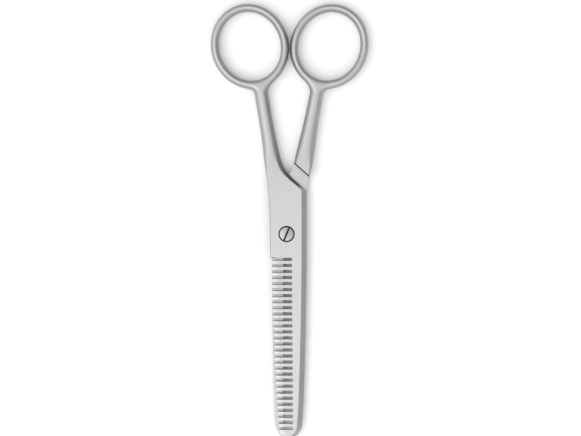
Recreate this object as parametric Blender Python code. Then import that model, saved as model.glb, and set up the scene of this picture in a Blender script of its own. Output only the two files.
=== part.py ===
"""Thinning shears, closed and lying flat: two forged halves that turn on a slotted pivot screw.

Shapes are drawn from the pivot: +X across the shears, +Y towards the finger rings, +Z up
from the surface they lie on. The pivot itself is placed so that the middle of the whole
outline falls on the origin.
"""

import math

import bmesh
import bpy

MM = 0.001

# Lengths along the shears, from the pivot
PIVOT_TO_TIP = 77.4 * MM
PIVOT_TO_RINGS = 71.25 * MM
PIVOT_TO_SHANKS = 28.0 * MM

# Thickness: full depth at rings and shanks, half depth where the halves pass each other
HALF_DEPTH = 2.5 * MM
RIDE_GAP = 0.3 * MM
FULL_DEPTH = 2 * HALF_DEPTH + RIDE_GAP
FRONT_INNER_FACE = HALF_DEPTH + RIDE_GAP
BLADE_THINNING = 0.8 * MM

# Finger rings
FINGER_HOLE_LENGTH = 26.3 * MM
FINGER_HOLE_WIDTH = 23.3 * MM
RING_WALL = 3.1 * MM
RING_GAP = 0.36 * MM
RING_MEETING = 1.08 * MM
FRONT_RING_LEAN = math.radians(15.7)
REAR_RING_LEAN = math.radians(-19.4)
RING_SECTION_POWER = 2.5
RING_STEPS = 64
RING_SECTION_STEPS = 12

# Shanks: (share of the way to the ring, width)
FRONT_SHANK_START = -5.35 * MM
REAR_SHANK_START = 6.55 * MM
FRONT_SHANK_WIDTHS = ((0.0, 6.4 * MM), (0.22, 5.6 * MM), (0.45, 5.25 * MM), (0.75, 5.2 * MM),
                      (1.0, 4.7 * MM))
REAR_SHANK_WIDTHS = ((0.0, 7.0 * MM), (0.22, 6.5 * MM), (0.45, 5.7 * MM), (0.75, 5.3 * MM),
                     (1.0, 4.8 * MM))
FRONT_ATTACH_ANGLE = math.radians(-1.0)
REAR_ATTACH_ANGLE = math.radians(3.5)
FILLET_RADIUS = 2.2 * MM
FILLET_STEPS = 5
SHANK_END_BITE = 0.4 * MM
SHANK_END_INSET = 0.15 * MM
SHANK_LEAD = 3 * MM
SHANK_STEPS = 9

# Body edges beside the pivot: (distance towards the rings, distance to the right)
FRONT_OUTER_EDGE = ((-6.0 * MM, -6.13 * MM), (4.5 * MM, -6.28 * MM), (12.9 * MM, -6.66 * MM),
                    (17.4 * MM, -7.05 * MM), (21.9 * MM, -7.65 * MM))
FRONT_INNER_EDGE = ((16.2 * MM, 7.6 * MM), (17.4 * MM, 6.4 * MM), (18.9 * MM, 4.7 * MM),
                    (20.4 * MM, 2.95 * MM), (21.9 * MM, 1.4 * MM), (23.4 * MM, 0.1 * MM),
                    (25.0 * MM, -1.0 * MM))
REAR_INNER_EDGE = ((16.4 * MM, -5.65 * MM), (17.4 * MM, -4.6 * MM), (18.9 * MM, -2.9 * MM),
                   (20.4 * MM, -1.1 * MM), (22.0 * MM, 0.4 * MM), (24.0 * MM, 1.7 * MM),
                   (26.0 * MM, 2.65 * MM))
REAR_OUTER_EDGE = ((-1.5 * MM, 6.9 * MM), (4.5 * MM, 7.1 * MM), (12.0 * MM, 7.35 * MM),
                   (17.0 * MM, 7.75 * MM), (21.0 * MM, 8.3 * MM), (24.0 * MM, 9.2 * MM))

BODY_STEPS = 6
UPPER_STEPS = 10
CORNER_STEP = 0.15 * MM

# Shoulders where the full depth ends: distance of each slanted line from the pivot
FRONT_SHOULDER = 20.9 * MM
REAR_SHOULDER = 22.1 * MM
SHOULDER_SLANT = math.radians(42.3)

# Blades
SPINE_REACH = 7.6 * MM
SPINE_SWEEP = 1.75 * MM
TOOTH_REACH = 5.75 * MM
TOOTH_SWEEP = 3.2 * MM
REAR_SPINE_REACH = 5.65 * MM
REAR_SPINE_SWEEP = 1.3 * MM
CUTTING_EDGE_REACH = 1.29 * MM
CHOIL_START = 1.5 * MM
CHOIL_END = 8.9 * MM
CHOIL_STEPS = 8
TIP_RADIUS = 5.1 * MM
BLADE_STEPS = 9
TIP_STEPS = 7
LAST_TIP_ANGLE = math.radians(84.0)
POINT_WIDTH = 0.3 * MM

# Slots between the teeth
SLOT_PITCH = 2.285 * MM
SLOT_WIDTH = 1.15 * MM
FIRST_SLOT = 9.59 * MM
BODY_TO_FIRST_SLOT = 0.3 * MM
UNSLOTTED_TIP = 3.2 * MM
SLOT_ROOT = 1.97 * MM
SLOT_ROOT_DRIFT = 0.45 * MM

# Section corners: (reach across, reach in depth, roundness from 0 straight to 1 round)
PLAIN_CORNER = (0.35 * MM, 0.35 * MM, 1.0)
SHANK_CORNER = (2.3 * MM, 2.35 * MM, 1.0)
INNER_EDGE_CORNER = (1.5 * MM, 1.4 * MM, 0.4)
SPINE_CORNER = (1.9 * MM, 1.7 * MM, 0.0)
TOOTH_CORNER = (2.3 * MM, 0.6 * MM, 0.0)
REAR_SPINE_CORNER = (1.2 * MM, 1.1 * MM, 0.0)
CUTTING_CORNER_REACH = 1.8 * MM
CUTTING_LAND = 0.4 * MM
CORNER_STEPS = 4
CORNER_SHARE = 0.49
ROUNDING_START = 19.0 * MM
ROUNDING_END = 36.0 * MM

# Pivot screw and washer
SCREW_HEAD_RADIUS = 2.6 * MM
SCREW_HEAD_DEPTH = 0.9 * MM
SCREW_HEAD_BREAK = 0.12 * MM
SCREW_SHOULDER_RADIUS = 1.75 * MM
SCREW_END_RADIUS = 1.45 * MM
SCREW_END_INSET = 0.15 * MM
SCREW_SLOT_WIDTH = 0.7 * MM
SCREW_SLOT_DEPTH = 0.55 * MM
SCREW_SLOT_ANGLE = math.radians(68.0)
WASHER_DEPTH = 0.35 * MM
SEAT_GAP = 0.15 * MM
TURNING_CLEARANCE = 0.1 * MM
RECESS_CLEARANCE = 0.45 * MM
WASHER_RIM_CLEARANCE = 0.1 * MM
ROUND_STEPS = 48

# Colours
SATIN_COLOUR = (0.72, 0.72, 0.71)
SCREW_COLOUR = (0.66, 0.66, 0.65)
NYLON_COLOUR = (0.03, 0.03, 0.03)

# How far cutters run past what they cut, and the sharpest edge that is shaded round
BEYOND = 5 * MM
SMOOTH_ANGLE = math.radians(25)


def clear_scene():
    """Start from an empty scene."""
    for found in list(bpy.data.objects):
        bpy.data.objects.remove(found, do_unlink=True)


def finish(name, colour, metallic, roughness):
    """Plain material."""
    material = bpy.data.materials.new(name)
    material.use_nodes = True
    shader = material.node_tree.nodes["Principled BSDF"]
    shader.inputs["Base Color"].default_value = (*colour, 1.0)
    shader.inputs["Metallic"].default_value = metallic
    shader.inputs["Roughness"].default_value = roughness
    return material


def ease(share):
    """Smooth step from 0 to 1."""
    held = min(max(share, 0.0), 1.0)
    return held * held * (3.0 - 2.0 * held)


def mixed(first, second, share):
    """Values between two equally long tuples."""
    return tuple(a + (b - a) * share for a, b in zip(first, second))


def smooth_value(points, place):
    """Value at a place on a smooth curve through (place, value) points, straight beyond its ends."""
    count = len(points)
    index = 0
    while index < count - 2 and place > points[index + 1][0]:
        index += 1
    slopes = []
    for near in (index, index + 1):
        before = points[max(near - 1, 0)]
        after = points[min(near + 1, count - 1)]
        slopes.append((after[1] - before[1]) / (after[0] - before[0]))
    (start, low), (end, high) = points[index], points[index + 1]
    if place <= start:
        return low + (place - start) * slopes[0]
    if place >= end:
        return high + (place - end) * slopes[1]
    span = end - start
    t = (place - start) / span
    from_low = (2 * t ** 3 - 3 * t ** 2 + 1) * low + (t ** 3 - 2 * t ** 2 + t) * span * slopes[0]
    from_high = (3 * t ** 2 - 2 * t ** 3) * high + (t ** 3 - t ** 2) * span * slopes[1]
    return from_low + from_high


def ring_reach(lean):
    """How far a leaning ring reaches from its centre, across and along the shears."""
    long_half = FINGER_HOLE_LENGTH / 2 + RING_WALL
    short_half = FINGER_HOLE_WIDTH / 2 + RING_WALL
    across = math.hypot(short_half * math.cos(lean), long_half * math.sin(lean))
    along = math.hypot(long_half * math.cos(lean), short_half * math.sin(lean))
    return across, along


def ring_centre(lean, side):
    """Centre of a ring that stops half the gap short of the line where the rings meet."""
    return RING_MEETING + side * (RING_GAP / 2 + ring_reach(lean)[0]), PIVOT_TO_RINGS


def pivot_place():
    """Where the pivot stands, so that the middle of the closed shears is the origin."""
    left = ring_centre(FRONT_RING_LEAN, -1)[0] - ring_reach(FRONT_RING_LEAN)[0]
    right = ring_centre(REAR_RING_LEAN, 1)[0] + ring_reach(REAR_RING_LEAN)[0]
    top = PIVOT_TO_RINGS + max(ring_reach(FRONT_RING_LEAN)[1], ring_reach(REAR_RING_LEAN)[1])
    return -(left + right) / 2, (PIVOT_TO_TIP - top) / 2, 0.0


def on_ring(lean, side, angle, outset):
    """Point of a ring at an angle from its lowest end, outset from the finger hole's edge."""
    centre_x, centre_y = ring_centre(lean, side)
    across = (FINGER_HOLE_WIDTH / 2 + outset) * math.sin(angle)
    along = -(FINGER_HOLE_LENGTH / 2 + outset) * math.cos(angle)
    x = across * math.cos(lean) - along * math.sin(lean)
    y = across * math.sin(lean) + along * math.cos(lean)
    return centre_x + x, centre_y + y


def mesh_object(name, shape, pivot):
    """Closed mesh as an object on the pivot."""
    bmesh.ops.recalc_face_normals(shape, faces=shape.faces)
    mesh = bpy.data.meshes.new(name)
    shape.to_mesh(mesh)
    shape.free()
    piece = bpy.data.objects.new(name, mesh)
    bpy.context.scene.collection.objects.link(piece)
    piece.parent = pivot
    return piece


def guide(piece):
    """Mark an object that only shapes another."""
    piece.hide_render = True
    piece.display_type = 'WIRE'
    return piece


def combine(piece, other, operation):
    """Join another shape to a piece, or cut it away."""
    boolean = piece.modifiers.new(other.name, 'BOOLEAN')
    boolean.operation = operation
    boolean.solver = 'EXACT'
    boolean.object = guide(other)


def smooth_round_faces(piece, limit):
    """Shade a piece smooth up to an edge angle."""
    piece.data.shade_smooth()
    piece.data.set_sharp_from_angle(angle=limit)


def skin(shape, loops, closed):
    """Join equally long point loops with faces, in a circle or with a cap at each end."""
    rows = [[shape.verts.new(point) for point in loop] for loop in loops]
    pairs = list(zip(rows, rows[1:]))
    if closed:
        pairs.append((rows[-1], rows[0]))
    for near, far in pairs:
        for index in range(len(near)):
            after = (index + 1) % len(near)
            shape.faces.new((near[index], near[after], far[after], far[index]))
    if not closed:
        shape.faces.new(rows[0])
        shape.faces.new(rows[-1])


def ring_solid(name, lean, side, pivot):
    """Finger ring: an oval section carried round the finger hole."""
    loops = []
    for step in range(RING_STEPS):
        angle = 2 * math.pi * step / RING_STEPS
        loop = []
        for part in range(RING_SECTION_STEPS):
            turn = 2 * math.pi * part / RING_SECTION_STEPS
            across = math.copysign(abs(math.cos(turn)) ** (2 / RING_SECTION_POWER), math.cos(turn))
            upward = math.copysign(abs(math.sin(turn)) ** (2 / RING_SECTION_POWER), math.sin(turn))
            x, y = on_ring(lean, side, angle, RING_WALL / 2 * (1 + across))
            loop.append((x, y, FULL_DEPTH / 2 * (1 + upward)))
        loops.append(loop)
    shape = bmesh.new()
    skin(shape, loops, closed=True)
    return mesh_object(name, shape, pivot)


def section(y, left, right, bottom, top, corners):
    """One cross-section of a half. Corners run round from the lower left, each within its own quarter."""
    signs = ((-1, -1), (1, -1), (1, 1), (-1, 1))
    loop = []
    for quarter, ((sign_x, sign_z), (wanted_x, wanted_z, roundness)) in enumerate(zip(signs, corners)):
        reach_x = min(wanted_x, CORNER_SHARE * (right - left))
        reach_z = min(wanted_z, CORNER_SHARE * (top - bottom))
        centre_x = (left if sign_x < 0 else right) - sign_x * reach_x
        centre_z = (bottom if sign_z < 0 else top) - sign_z * reach_z
        first = math.radians(90 * quarter - 180)
        ends = [(math.cos(first + turn), math.sin(first + turn)) for turn in (0.0, math.pi / 2)]
        for step in range(CORNER_STEPS + 1):
            share = step / CORNER_STEPS
            turn = first + share * math.pi / 2
            flat = mixed(ends[0], ends[1], share)
            bent = mixed(flat, (math.cos(turn), math.sin(turn)), roundness)
            loop.append((centre_x + reach_x * bent[0], y, centre_z + reach_z * bent[1]))
    return loop


def blade_share(y):
    """How far down the blade a place is, from 0 at the pivot to 1 at the tip."""
    return min(max(-y / PIVOT_TO_TIP, 0.0), 1.0)


def tip_centre():
    """Centre of the round tip that both blades share."""
    spine = SPINE_REACH - SPINE_SWEEP
    return spine - TIP_RADIUS, TIP_RADIUS - PIVOT_TO_TIP


def tip_reach(y):
    """Half width of the round tip at a place along the blade."""
    below = tip_centre()[1] - y
    return math.sqrt(max(TIP_RADIUS ** 2 - max(below, 0.0) ** 2, 0.0))


def inside_tip(x, y):
    """Hold an edge of either blade inside the round tip."""
    centre_x, centre_y = tip_centre()
    if y > centre_y:
        return x
    reach = tip_reach(y)
    return min(max(x, centre_x - reach), centre_x + reach)


def spine_edge(y):
    """Front blade's spine."""
    return inside_tip(SPINE_REACH - SPINE_SWEEP * blade_share(y) ** 2, y)


def tooth_edge(y):
    """Line of the tooth tips."""
    return inside_tip(TOOTH_SWEEP * blade_share(y) ** 2 - TOOTH_REACH, y)


def rear_spine_edge(y):
    """Rear blade's spine."""
    return inside_tip(REAR_SPINE_SWEEP * blade_share(y) ** 2 - REAR_SPINE_REACH, y)


def ring_underside(lean, side, x):
    """Lowest place on a ring's outside at a distance across the shears."""
    centre_x, centre_y = ring_centre(lean, side)
    long_half = FINGER_HOLE_LENGTH / 2 + RING_WALL
    short_half = FINGER_HOLE_WIDTH / 2 + RING_WALL
    sine, cosine = math.sin(lean), math.cos(lean)
    across = x - centre_x
    square = (sine / short_half) ** 2 + (cosine / long_half) ** 2
    linear = across * sine * cosine * (1 / short_half ** 2 - 1 / long_half ** 2)
    constant = across ** 2 * ((cosine / short_half) ** 2 + (sine / long_half) ** 2) - 1
    return centre_y - (linear + math.sqrt(linear ** 2 - square * constant)) / square


class Shank:
    """Straight bar from beside the pivot to its ring, with a fillet on both sides of the join."""

    def __init__(self, start_x, widths, lean, side, attach_angle):
        self.start = (start_x, PIVOT_TO_SHANKS)
        self.attach = on_ring(lean, side, attach_angle, RING_WALL / 2)
        self.widths = widths
        joins = (self.plain_edge(self.attach[1], hand) + hand * FILLET_RADIUS for hand in (-1, 1))
        self.fillet_tops = dict(zip((-1, 1), (ring_underside(lean, side, x) for x in joins)))
        self.end = max(self.fillet_tops.values()) + SHANK_END_BITE

    def share(self, y):
        """How far a place is along the shank, from 0 to 1 at its ring."""
        return (y - self.start[1]) / (self.attach[1] - self.start[1])

    def plain_edge(self, y, hand):
        """Edge without the fillet, on the left (-1) or the right (1)."""
        share = self.share(y)
        middle = self.start[0] + (self.attach[0] - self.start[0]) * share
        return middle + hand * smooth_value(self.widths, share) / 2

    def edge(self, y, hand):
        """Edge with the fillet that runs out into the ring."""
        held = min(max(y - self.fillet_tops[hand] + FILLET_RADIUS, 0.0), FILLET_RADIUS)
        flare = FILLET_RADIUS - math.sqrt(FILLET_RADIUS ** 2 - held ** 2)
        return self.plain_edge(y, hand) + hand * flare

    def edge_below(self, body_points, y, hand):
        """Edge beside the pivot, which runs smoothly into the shank."""
        if y > self.start[1]:
            return self.edge(y, hand)
        joins = (self.start[1], self.start[1] + SHANK_LEAD)
        return smooth_value((*body_points, *((place, self.edge(place, hand)) for place in joins)), y)

    def places(self):
        """Places of the cross-sections, closer together along the fillets."""
        fillet_start = min(self.fillet_tops.values()) - FILLET_RADIUS
        turns = spread(0.0, math.pi / 2, FILLET_STEPS)[1:]
        tops = self.fillet_tops.values()
        fillets = {top - FILLET_RADIUS * (1 - math.sin(turn)) for top in tops for turn in turns}
        return spread(self.start[1], fillet_start, SHANK_STEPS) + sorted(fillets) + [self.end]

    def depths(self, y):
        """Bottom and top, a little thinner where the shank enters its ring."""
        inset = SHANK_END_INSET * ease(self.share(y))
        return inset, FULL_DEPTH - inset


def spread(first, last, steps):
    """Evenly spread places, both ends included."""
    return [first + (last - first) * step / steps for step in range(steps + 1)]


def tip_places(last_turn):
    """Places of the sections that round the tip, from its end up to its full width."""
    centre = tip_centre()[1]
    return [centre - TIP_RADIUS * math.sin(turn) for turn in spread(last_turn, 0.0, TIP_STEPS)]


def upper_places(corner_y, shank):
    """Places of the sections from a body's upper corner to the ring."""
    return spread(corner_y + CORNER_STEP, PIVOT_TO_SHANKS, UPPER_STEPS)[:-1] + shank.places()


def front_bar(pivot):
    """Front half without its ring: shank, body and blade blank."""
    shank = Shank(FRONT_SHANK_START, FRONT_SHANK_WIDTHS, FRONT_RING_LEAN, -1, FRONT_ATTACH_ANGLE)
    blade_top = SLOT_WIDTH / 2 - FIRST_SLOT
    body_bottom = blade_top + BODY_TO_FIRST_SLOT
    spine_top = FRONT_INNER_EDGE[0][0]
    loops = []
    for y in tip_places(LAST_TIP_ANGLE) + spread(tip_centre()[1], blade_top, BLADE_STEPS)[1:]:
        top = FULL_DEPTH - BLADE_THINNING * blade_share(y)
        corners = (PLAIN_CORNER, PLAIN_CORNER, SPINE_CORNER, TOOTH_CORNER)
        loops.append(section(y, tooth_edge(y), spine_edge(y), 0.0, top, corners))
    for y in spread(body_bottom, spine_top, BODY_STEPS):
        left = shank.edge_below(FRONT_OUTER_EDGE, max(y, FRONT_OUTER_EDGE[0][0]), -1)
        top = FULL_DEPTH - BLADE_THINNING * blade_share(y)
        corners = (PLAIN_CORNER, PLAIN_CORNER, SPINE_CORNER, PLAIN_CORNER)
        loops.append(section(y, left, spine_edge(y), 0.0, top, corners))
    for y in upper_places(spine_top, shank):
        rounding = ease((y - ROUNDING_START) / (ROUNDING_END - ROUNDING_START))
        side = mixed(PLAIN_CORNER, SHANK_CORNER, rounding)
        inner = mixed(INNER_EDGE_CORNER, SHANK_CORNER, rounding)
        left = shank.edge_below(FRONT_OUTER_EDGE, y, -1)
        right = shank.edge_below(FRONT_INNER_EDGE, y, 1)
        loops.append(section(y, left, right, *shank.depths(y), (side, inner, inner, side)))
    shape = bmesh.new()
    skin(shape, loops, closed=False)
    return mesh_object("toothed_half", shape, pivot)


def grinding(y):
    """How far the rear half has turned from body to blade, from 0 beside the pivot to 1 past the choil."""
    return ease((-y - CHOIL_START) / (CHOIL_END - CHOIL_START))


def rear_blade_right(y):
    """Rear half's right edge below the pivot: it steps in along the choil to the cutting edge."""
    body = REAR_OUTER_EDGE[0][1]
    return inside_tip(body - (CUTTING_EDGE_REACH + body) * grinding(y), y)


def rear_bar(pivot):
    """Rear half without its ring: shank, neck and straight blade blank."""
    shank = Shank(REAR_SHANK_START, REAR_SHANK_WIDTHS, REAR_RING_LEAN, 1, REAR_ATTACH_ANGLE)
    corner_y = REAR_INNER_EDGE[0][0]
    last_angle = math.acos((tip_centre()[0] + CUTTING_EDGE_REACH + POINT_WIDTH) / TIP_RADIUS)
    blade = tip_places(last_angle) + spread(tip_centre()[1], -CHOIL_END, BLADE_STEPS)[1:]
    loops = []
    for y in blade + spread(-CHOIL_END, -CHOIL_START, CHOIL_STEPS)[1:]:
        bottom = BLADE_THINNING * blade_share(y)
        bevel_depth = HALF_DEPTH - CUTTING_LAND - bottom
        cutting = mixed(PLAIN_CORNER, (CUTTING_CORNER_REACH, bevel_depth, 0.0), grinding(y))
        spine = mixed(PLAIN_CORNER, REAR_SPINE_CORNER, grinding(y))
        corners = (spine, cutting, PLAIN_CORNER, PLAIN_CORNER)
        loops.append(section(y, rear_spine_edge(y), rear_blade_right(y), bottom, FULL_DEPTH, corners))
    for y in spread(-CHOIL_START, corner_y, BODY_STEPS)[1:]:
        right = shank.edge_below(REAR_OUTER_EDGE, y, 1)
        loops.append(section(y, -REAR_SPINE_REACH, right, 0.0, FULL_DEPTH, (PLAIN_CORNER,) * 4))
    for y in upper_places(corner_y, shank):
        rounding = ease((y - ROUNDING_START) / (ROUNDING_END - ROUNDING_START))
        below = mixed(PLAIN_CORNER, SHANK_CORNER, rounding)
        left = shank.edge_below(REAR_INNER_EDGE, y, -1)
        right = shank.edge_below(REAR_OUTER_EDGE, y, 1)
        loops.append(section(y, left, right, *shank.depths(y), (below, below, SHANK_CORNER, SHANK_CORNER)))
    shape = bmesh.new()
    skin(shape, loops, closed=False)
    return mesh_object("straight_half", shape, pivot)


def shoulder_cutter(name, reach, slant, heights, pivot):
    """Block that takes half the depth away on the pivot's side of a slanted shoulder."""
    size = 3 * PIVOT_TO_TIP
    corners = []
    for across, along in ((-size, -size), (size, -size), (size, reach), (-size, reach)):
        x = across * math.cos(slant) - along * math.sin(slant)
        y = across * math.sin(slant) + along * math.cos(slant)
        corners.append((x, y))
    shape = bmesh.new()
    skin(shape, [[(x, y, z) for x, y in corners] for z in heights], closed=False)
    return mesh_object(name, shape, pivot)


def slot_count():
    """How many slots fit between the body and the solid tip."""
    room = PIVOT_TO_TIP - UNSLOTTED_TIP - SLOT_WIDTH / 2 - FIRST_SLOT
    return int(room / SLOT_PITCH) + 1


def slot_cutter(pivot):
    """Blocks that open the slots between the teeth."""
    shape = bmesh.new()
    for index in range(slot_count()):
        middle = -FIRST_SLOT - index * SLOT_PITCH
        root = SLOT_ROOT + SLOT_ROOT_DRIFT * blade_share(middle)
        left = -TOOTH_REACH - BEYOND
        low, high = middle - SLOT_WIDTH / 2, middle + SLOT_WIDTH / 2
        outline = ((left, low), (root, low), (root, high), (left, high))
        skin(shape, [[(x, y, z) for x, y in outline] for z in (-BEYOND, FULL_DEPTH + BEYOND)], closed=False)
    return mesh_object("slot_cutter", shape, pivot)


def turned(name, profile, pivot):
    """Solid turned about the pivot from (radius, height) points, bottom to top."""
    loops = []
    for radius, height in profile:
        turns = [2 * math.pi * step / ROUND_STEPS for step in range(ROUND_STEPS)]
        loops.append([(radius * math.cos(turn), radius * math.sin(turn), height) for turn in turns])
    shape = bmesh.new()
    skin(shape, loops, closed=False)
    return mesh_object(name, shape, pivot)


def recess_floor():
    """Height of the recess that holds the washer and the screw's head."""
    return FULL_DEPTH - SCREW_HEAD_DEPTH - WASHER_DEPTH - 2 * SEAT_GAP


def toothed_half(pivot, material):
    """Front half: ring, shank, body and toothed blade, with its screw recess."""
    half = front_bar(pivot)
    combine(half, ring_solid("front_ring", FRONT_RING_LEAN, -1, pivot), 'UNION')
    heights = (-BEYOND, FRONT_INNER_FACE)
    relief = shoulder_cutter("front_relief", FRONT_SHOULDER, SHOULDER_SLANT, heights, pivot)
    combine(half, relief, 'DIFFERENCE')
    combine(half, slot_cutter(pivot), 'DIFFERENCE')
    bore = SCREW_SHOULDER_RADIUS + TURNING_CLEARANCE
    recess = SCREW_HEAD_RADIUS + RECESS_CLEARANCE
    floor = recess_floor()
    profile = ((bore, -BEYOND), (bore, floor), (recess, floor), (recess, FULL_DEPTH + BEYOND))
    combine(half, turned("front_bore", profile, pivot), 'DIFFERENCE')
    half.data.materials.append(material)
    smooth_round_faces(half, SMOOTH_ANGLE)


def straight_half(pivot, material):
    """Rear half: ring, shank, neck and straight blade, with the hole for the screw's end."""
    half = rear_bar(pivot)
    combine(half, ring_solid("rear_ring", REAR_RING_LEAN, 1, pivot), 'UNION')
    heights = (HALF_DEPTH, FULL_DEPTH + BEYOND)
    relief = shoulder_cutter("rear_relief", REAR_SHOULDER, -SHOULDER_SLANT, heights, pivot)
    combine(half, relief, 'DIFFERENCE')
    bore = SCREW_END_RADIUS + TURNING_CLEARANCE
    profile = ((bore, -BEYOND), (bore, FULL_DEPTH))
    combine(half, turned("rear_bore", profile, pivot), 'DIFFERENCE')
    half.data.materials.append(material)
    smooth_round_faces(half, SMOOTH_ANGLE)


def pivot_screw(pivot, material):
    """Slotted screw: head in the recess, shoulder through the front half, end in the rear half."""
    head_bottom = FULL_DEPTH - SCREW_HEAD_DEPTH
    shoulder_bottom = HALF_DEPTH + SEAT_GAP
    profile = ((SCREW_END_RADIUS, SCREW_END_INSET), (SCREW_END_RADIUS, shoulder_bottom),
               (SCREW_SHOULDER_RADIUS, shoulder_bottom), (SCREW_SHOULDER_RADIUS, head_bottom),
               (SCREW_HEAD_RADIUS, head_bottom), (SCREW_HEAD_RADIUS, FULL_DEPTH - SCREW_HEAD_BREAK),
               (SCREW_HEAD_RADIUS - SCREW_HEAD_BREAK, FULL_DEPTH))
    screw = turned("pivot_screw", profile, pivot)
    half_length = SCREW_HEAD_RADIUS + BEYOND
    half_width = SCREW_SLOT_WIDTH / 2
    corners = []
    for along, across in ((-half_length, -half_width), (half_length, -half_width),
                          (half_length, half_width), (-half_length, half_width)):
        x = along * math.cos(SCREW_SLOT_ANGLE) - across * math.sin(SCREW_SLOT_ANGLE)
        y = along * math.sin(SCREW_SLOT_ANGLE) + across * math.cos(SCREW_SLOT_ANGLE)
        corners.append((x, y))
    shape = bmesh.new()
    heights = (FULL_DEPTH - SCREW_SLOT_DEPTH, FULL_DEPTH + BEYOND)
    skin(shape, [[(x, y, z) for x, y in corners] for z in heights], closed=False)
    combine(screw, mesh_object("screw_slot", shape, pivot), 'DIFFERENCE')
    screw.data.materials.append(material)
    smooth_round_faces(screw, SMOOTH_ANGLE)


def tension_washer(pivot, material):
    """Flat ring between the screw's head and the recess floor."""
    outer = SCREW_HEAD_RADIUS + RECESS_CLEARANCE - WASHER_RIM_CLEARANCE
    inner = SCREW_SHOULDER_RADIUS + TURNING_CLEARANCE
    bottom = recess_floor() + SEAT_GAP
    top = bottom + WASHER_DEPTH
    loops = []
    for step in range(ROUND_STEPS):
        turn = 2 * math.pi * step / ROUND_STEPS
        corners = ((inner, bottom), (outer, bottom), (outer, top), (inner, top))
        across, along = math.cos(turn), math.sin(turn)
        loops.append([(radius * across, radius * along, height) for radius, height in corners])
    shape = bmesh.new()
    skin(shape, loops, closed=True)
    washer = mesh_object("tension_washer", shape, pivot)
    washer.data.materials.append(material)
    smooth_round_faces(washer, SMOOTH_ANGLE)


def build():
    """The closed shears, every piece on the pivot."""
    clear_scene()
    pivot = bpy.data.objects.new("pivot", None)
    bpy.context.scene.collection.objects.link(pivot)
    pivot.location = pivot_place()
    blade_steel = finish("satin_steel", SATIN_COLOUR, 1.0, 0.38)
    toothed_half(pivot, blade_steel)
    straight_half(pivot, blade_steel)
    pivot_screw(pivot, finish("screw_steel", SCREW_COLOUR, 1.0, 0.3))
    tension_washer(pivot, finish("dark_nylon", NYLON_COLOUR, 0.0, 0.6))


build()
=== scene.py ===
"""Thinning shears lying closed on a pale table: satin steel halves, a slotted pivot screw, a nylon washer.

Every piece is shaped about the pivot, +X across the shears, +Y towards the finger rings and
+Z up from the table, and is moved to the frame's pivot when it is finished.
"""

import math

import bmesh
import bpy
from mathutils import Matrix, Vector
from mathutils.bvhtree import BVHTree


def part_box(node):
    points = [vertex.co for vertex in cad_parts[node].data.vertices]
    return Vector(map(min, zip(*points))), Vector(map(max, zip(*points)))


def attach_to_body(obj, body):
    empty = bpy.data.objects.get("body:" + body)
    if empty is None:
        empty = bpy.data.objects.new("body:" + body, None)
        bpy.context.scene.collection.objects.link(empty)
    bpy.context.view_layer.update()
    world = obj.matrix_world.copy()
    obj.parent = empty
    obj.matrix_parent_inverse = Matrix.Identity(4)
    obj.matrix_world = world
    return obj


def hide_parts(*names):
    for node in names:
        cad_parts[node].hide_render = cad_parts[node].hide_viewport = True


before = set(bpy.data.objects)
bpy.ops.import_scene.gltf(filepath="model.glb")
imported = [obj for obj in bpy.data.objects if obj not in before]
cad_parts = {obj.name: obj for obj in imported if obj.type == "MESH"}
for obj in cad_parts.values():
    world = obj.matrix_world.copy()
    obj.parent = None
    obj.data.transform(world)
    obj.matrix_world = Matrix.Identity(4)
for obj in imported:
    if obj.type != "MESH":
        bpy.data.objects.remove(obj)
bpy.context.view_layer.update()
bpy.ops.object.select_all(action='DESELECT')

MM = 0.001

# Places taken from the frame
SCREW_LOW, SCREW_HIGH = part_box("pivot_screw")
WASHER_LOW, WASHER_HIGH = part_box("tension_washer")
FRONT_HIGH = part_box("toothed_half")[1]
PIVOT = Vector(((SCREW_LOW.x + SCREW_HIGH.x) / 2, (SCREW_LOW.y + SCREW_HIGH.y) / 2, 0.0))
FULL_DEPTH = FRONT_HIGH.z
PIVOT_TO_TIP = 77.4 * MM

# Thickness where the halves pass each other
HALF_DEPTH = 2.5 * MM
RIDE_GAP = 0.3 * MM
BLADE_THINNING = 0.8 * MM

# Finger rings
FINGER_HOLE_LENGTH = 26.3 * MM
FINGER_HOLE_WIDTH = 23.3 * MM
RING_WALL = 3.1 * MM
RING_GAP = 0.36 * MM
RING_MEETING = 1.08 * MM
RING_HEIGHT = 71.25 * MM
RING_FULLNESS = 1.08
RING_TRIM = 0.03 * MM
RING_SEGMENTS = 24
RING_CORNERS = 8

# Shanks: (share of the way to the ring, width)
SHANK_FOOT = 28.0 * MM
SHANK_ROUNDING = 0.27
FRONT_SHANK_WIDTHS = ((0.0, 6.4 * MM), (0.22, 5.6 * MM), (0.45, 5.25 * MM), (0.75, 5.2 * MM),
                      (1.0, 4.9 * MM))
REAR_SHANK_WIDTHS = ((0.0, 7.0 * MM), (0.22, 6.5 * MM), (0.45, 5.7 * MM), (0.75, 5.3 * MM),
                     (1.0, 5.0 * MM))

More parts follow.
